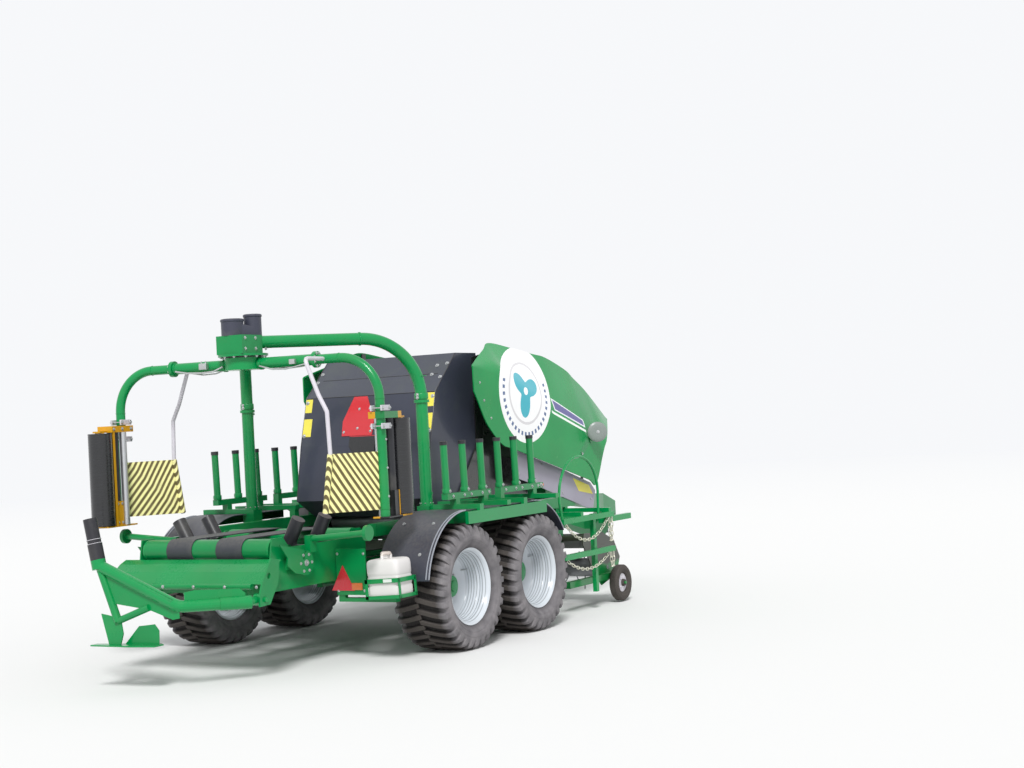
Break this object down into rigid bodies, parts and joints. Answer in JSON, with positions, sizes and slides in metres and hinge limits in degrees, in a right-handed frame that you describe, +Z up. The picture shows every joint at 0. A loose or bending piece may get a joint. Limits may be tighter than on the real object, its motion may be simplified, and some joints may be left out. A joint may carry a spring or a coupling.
{
  "type": "round baler with bale wrapper",
  "caption": "Towed tandem-axle round baler with a two-arm satellite bale wrapper, film racks, pick-up and opening tailgate.",
  "frame": {"origin": "on the ground under the middle of the machine", "axes": "+X forward to the hitch, +Y left, +Z up"},
  "size_m": [7.69, 2.95, 2.8],
  "materials": {
    "frame_green": "gloss",
    "gate_blue_grey": "satin",
    "black_steel": "gloss",
    "roller_steel": "satin",
    "grey_plate": "satin",
    "guard_plastic": "matte",
    "cap_plastic": "gloss",
    "cover_grey": "matte",
    "chain_steel": "bright",
    "forged_steel": "matte",
    "belt_rubber": "matte",
    "red_reflector": "gloss",
    "can_plastic": "matte",
    "tyre_rubber": "matte",
    "rim_silver": "satin",
    "gauge_rubber": "matte",
    "dispenser_yellow": "gloss",
    "stretch_dark": "matte",
    "bar_grey": "gloss",
    "sheet_striped": "matte",
    "film_black": "gloss",
    "leg_zinc": "satin"
  },
  "bodies": {
    "chassis": {"main_frame": "frame_green", "drawbar": "frame_green", "hitch_eye": "forged_steel", "bogies": "frame_green", "jack_body": "frame_green", "chamber_walls": "black_steel", "press_rollers": "roller_steel", "gearbox": "frame_green", "feeder_plates": "grey_plate", "intake_plates": "black_steel", "net_box": "black_steel", "mudguards": "guard_plastic", "film_racks": "frame_green", "post_caps": "cap_plastic", "side_guards": "frame_green", "guard_chains": "chain_steel", "nose_discs": "grey_plate", "arch": "frame_green", "rotor_head": "frame_green", "head_cover": "cover_grey", "slew_ring": "forged_steel", "table_frame": "frame_green", "table_rollers": "frame_green", "table_belts": "belt_rubber", "guide_rollers": "cap_plastic", "apron": "frame_green", "bale_chute": "black_steel", "light_boards": "frame_green", "reflectors": "red_reflector", "water_can": "can_plastic", "film_cutters": "frame_green"},
    "wheel_fr": {"tyre_fr": "tyre_rubber", "rim_fr": "rim_silver"},
    "wheel_fl": {"tyre_fl": "tyre_rubber", "rim_fl": "rim_silver"},
    "wheel_rr": {"tyre_rr": "tyre_rubber", "rim_rr": "rim_silver"},
    "wheel_rl": {"tyre_rl": "tyre_rubber", "rim_rl": "rim_silver"},
    "feed": {"feed_rotor": "roller_steel"},
    "pickup": {"pickup_frame": "frame_green"},
    "reel": {"pickup_reel": "roller_steel"},
    "gauge_r": {"gauge_wheel_r": "gauge_rubber"},
    "gauge_l": {"gauge_wheel_l": "gauge_rubber"},
    "gate": {"tailgate": "gate_blue_grey", "gate_rollers": "roller_steel", "warning_plate": "red_reflector"},
    "right_cover": {"cover_r": "frame_green"},
    "left_cover": {"cover_l": "frame_green"},
    "lid": {"net_lid": "black_steel"},
    "jack": {"jack_leg": "leg_zinc"},
    "rotor": {"rotor_arms": "frame_green", "dispensers": "dispenser_yellow", "stretch_rollers": "stretch_dark", "safety_bars": "bar_grey", "striped_sheets": "sheet_striped"},
    "film_r": {"film_roll_r": "film_black"},
    "film_l": {"film_roll_l": "film_black"},
    "tip": {"tipper": "frame_green", "tipper_post": "cap_plastic"}
  },
  "joints": [
    {"name": "wheel_fr_spin", "type": "hinge", "parent": "chassis", "child": "wheel_fr", "pos_m": [-0.31, -1.225, 0.51], "axis": [0, 1, 0], "continuous": true},
    {"name": "wheel_fl_spin", "type": "hinge", "parent": "chassis", "child": "wheel_fl", "pos_m": [-0.31, 1.225, 0.51], "axis": [0, 1, 0], "continuous": true},
    {"name": "wheel_rr_spin", "type": "hinge", "parent": "chassis", "child": "wheel_rr", "pos_m": [-1.45, -1.225, 0.51], "axis": [0, 1, 0], "continuous": true},
    {"name": "wheel_rl_spin", "type": "hinge", "parent": "chassis", "child": "wheel_rl", "pos_m": [-1.45, 1.225, 0.51], "axis": [0, 1, 0], "continuous": true},
    {"name": "feed_rotor_spin", "type": "hinge", "parent": "chassis", "child": "feed", "pos_m": [1.25, 0, 0.56], "axis": [0, 1, 0], "continuous": true},
    {"name": "pickup_lift", "type": "hinge", "parent": "chassis", "child": "pickup", "pos_m": [1.25, 0, 0.66], "axis": [0, -1, 0], "range_deg": [0, 18]},
    {"name": "pickup_reel_spin", "type": "hinge", "parent": "pickup", "child": "reel", "pos_m": [1.7, 0, 0.34], "axis": [0, 1, 0], "continuous": true},
    {"name": "gauge_wheel_r_spin", "type": "hinge", "parent": "pickup", "child": "gauge_r", "pos_m": [1.75, -1.2, 0.185], "axis": [0, 1, 0], "continuous": true},
    {"name": "gauge_wheel_l_spin", "type": "hinge", "parent": "pickup", "child": "gauge_l", "pos_m": [1.75, 1.2, 0.185], "axis": [0, 1, 0], "continuous": true},
    {"name": "tailgate_lift", "type": "hinge", "parent": "chassis", "child": "gate", "pos_m": [0.1, 0, 2.36], "axis": [0, 1, 0], "range_deg": [0, 78]},
    {"name": "right_cover_open", "type": "hinge", "parent": "chassis", "child": "right_cover", "pos_m": [0.4, -0.722, 2.55], "axis": [-1, 0, 0], "range_deg": [0, 70]},
    {"name": "left_cover_open", "type": "hinge", "parent": "chassis", "child": "left_cover", "pos_m": [0.4, 0.722, 2.55], "axis": [1, 0, 0], "range_deg": [0, 70]},
    {"name": "net_lid_open", "type": "hinge", "parent": "chassis", "child": "lid", "pos_m": [0.955, 0, 2.2603], "axis": [0, -1, 0], "range_deg": [0, 80]},
    {"name": "jack_slide", "type": "slide", "parent": "chassis", "child": "jack", "axis": [0, 0, 1], "range_m": [0, 0.3]},
    {"name": "rotor_spin", "type": "hinge", "parent": "chassis", "child": "rotor", "pos_m": [-2.427, 0, 2.395], "axis": [0, 0, 1], "continuous": true},
    {"name": "film_roll_r_spin", "type": "hinge", "parent": "rotor", "child": "film_r", "pos_m": [-1.98338, -1.15958, 1.525], "axis": [0, 0, 1], "continuous": true},
    {"name": "film_roll_l_spin", "type": "hinge", "parent": "rotor", "child": "film_l", "pos_m": [-2.87062, 1.15958, 1.525], "axis": [0, 0, 1], "continuous": true},
    {"name": "tipper_swing", "type": "hinge", "parent": "chassis", "child": "tip", "pos_m": [-3.262, -0.72, 0.615], "axis": [0, 1, 0], "range_deg": [-12, 30]}
  ]
}
